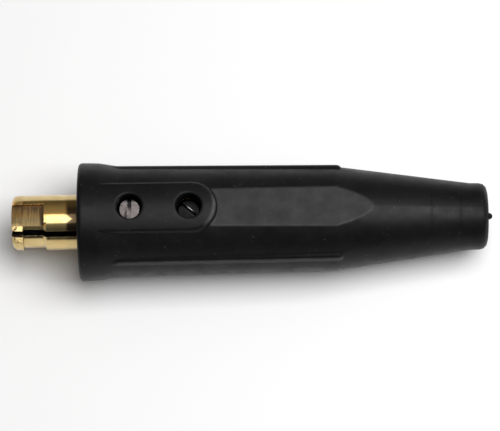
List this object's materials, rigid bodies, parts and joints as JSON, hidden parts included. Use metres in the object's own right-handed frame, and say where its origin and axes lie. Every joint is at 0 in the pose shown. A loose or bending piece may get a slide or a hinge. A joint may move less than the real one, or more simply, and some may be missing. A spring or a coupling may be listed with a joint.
{
  "type": "welding cable plug",
  "caption": "Cam-lock welding cable plug: ribbed rubber sleeve with a tapered tail, split brass pin and slotted set screws.",
  "frame": {"origin": "on the plug's axis, in the plane of the sleeve's front face", "axes": "+X along the plug from the pin to the cable tail, +Z the side with the screws and the pad"},
  "size_m": [0.1548, 0.0382, 0.0384],
  "materials": {
    "sleeve_rubber": "black moulded rubber, satin",
    "contact_brass": "bright turned brass",
    "screw_steel": "plain machined steel"
  },
  "bodies": {
    "plug": {"insulator_sleeve": "sleeve_rubber", "contact_body": "contact_brass"},
    "front_screw": {"retaining_screw": "screw_steel"},
    "rear_screw": {"cable_clamp_screw": "screw_steel"}
  },
  "joints": [
    {"name": "retaining_screw_travel", "type": "slide", "parent": "plug", "child": "front_screw", "axis": [0, 0, 1], "range_m": [-0.0025, 0.0039]},
    {"name": "clamp_screw_travel", "type": "slide", "parent": "plug", "child": "rear_screw", "axis": [0, 0, 1], "range_m": [-0.004, 0.0045]}
  ]
}
